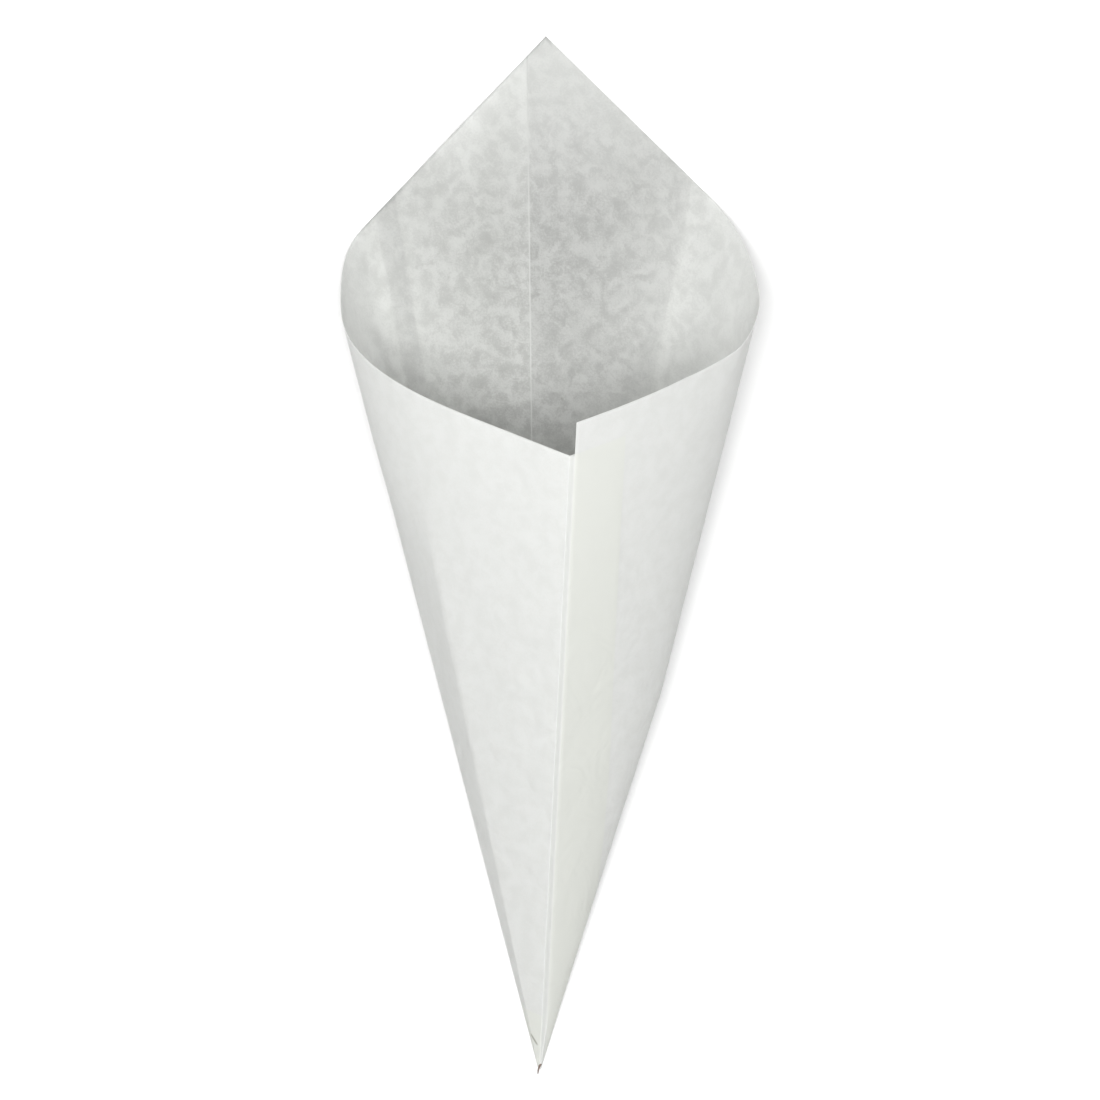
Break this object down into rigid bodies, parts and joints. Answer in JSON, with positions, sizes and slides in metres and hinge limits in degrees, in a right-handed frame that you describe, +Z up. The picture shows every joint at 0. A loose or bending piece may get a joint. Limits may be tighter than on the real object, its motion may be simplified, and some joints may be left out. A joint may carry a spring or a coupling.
{
  "type": "paper cone bag",
  "caption": "Sheet of white greaseproof paper folded on its diagonal to a cone bag, glued down one side, with a pointed back and an open slanted mouth.",
  "frame": {"origin": "centre of the bag's bounding box, on the floor plane that its flat back rests on", "axes": "+Y along the flat back from the tip to the mouth, +X across the bag, +Z up through the glued front seam"},
  "size_m": [0.098, 0.2484, 0.0817],
  "materials": {
    "greaseproof_paper": "matt white greaseproof paper, faintly cloudy"
  },
  "bodies": {
    "root": {"paper_cone": "greaseproof_paper"}
  },
  "joints": []
}
